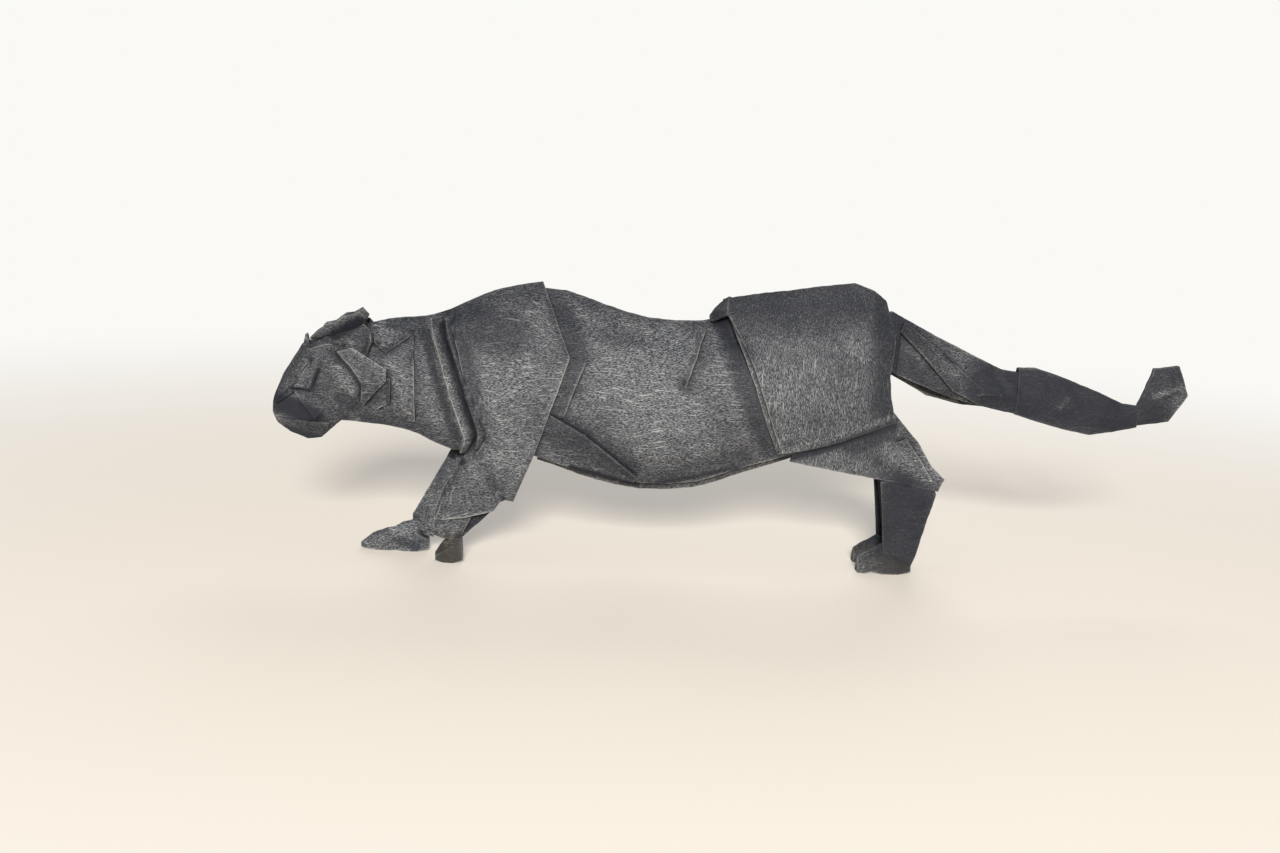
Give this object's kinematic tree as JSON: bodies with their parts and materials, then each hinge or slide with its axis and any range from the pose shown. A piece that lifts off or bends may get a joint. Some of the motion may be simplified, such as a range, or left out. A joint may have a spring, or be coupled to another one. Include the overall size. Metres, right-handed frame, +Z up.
{
  "type": "folded paper panther",
  "caption": "Walking big cat folded from black paper, standing on flat paws with its head low and its tail held out behind.",
  "frame": {"origin": "on the ground, under the middle of the bounding box", "axes": "+X from the nose to the tail, +Z up, so that the panther looks along -X and its left side is at -Y"},
  "size_m": [0.2424, 0.028, 0.0763],
  "materials": {
    "paper": "matte"
  },
  "bodies": {
    "root": {"folded_sheet": "paper"}
  },
  "joints": []
}
